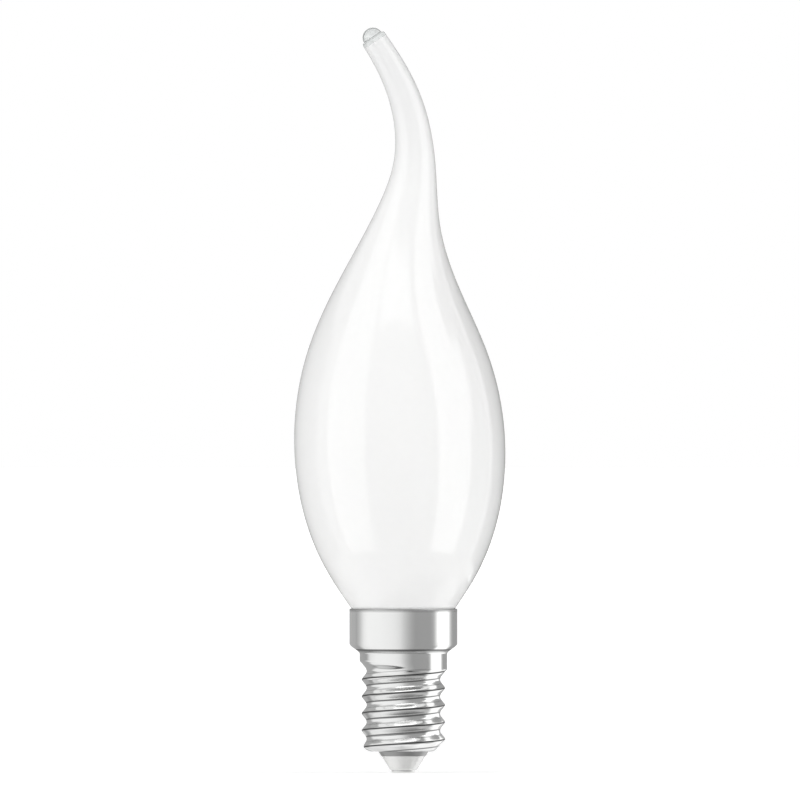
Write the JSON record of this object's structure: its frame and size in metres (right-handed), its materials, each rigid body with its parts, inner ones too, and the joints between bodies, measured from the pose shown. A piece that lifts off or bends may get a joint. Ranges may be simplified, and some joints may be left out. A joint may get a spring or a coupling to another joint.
{
  "type": "candle bulb",
  "caption": "Frosted candle bulb with a bent glass tail, a drawn metal screw cap with a rolled thread, a white insulator cone and a centre contact.",
  "frame": {"origin": "middle of the centre contact's end face, on the axis of the screw cap", "axes": "+Z along the axis of the screw cap, from the contact towards the glass; the tail bends in the XZ plane, towards -X"},
  "size_m": [0.035, 0.035, 0.1236],
  "materials": {
    "opal_glass": "glossy blown glass, white inside",
    "plated_sheet": "bright nickel-plated sheet",
    "insulator_white": "glossy white moulding",
    "contact_metal": "bright tinned metal"
  },
  "bodies": {
    "root": {"glass_bulb": "opal_glass", "screw_cap": "plated_sheet", "insulator": "insulator_white", "centre_contact": "contact_metal"}
  },
  "joints": []
}
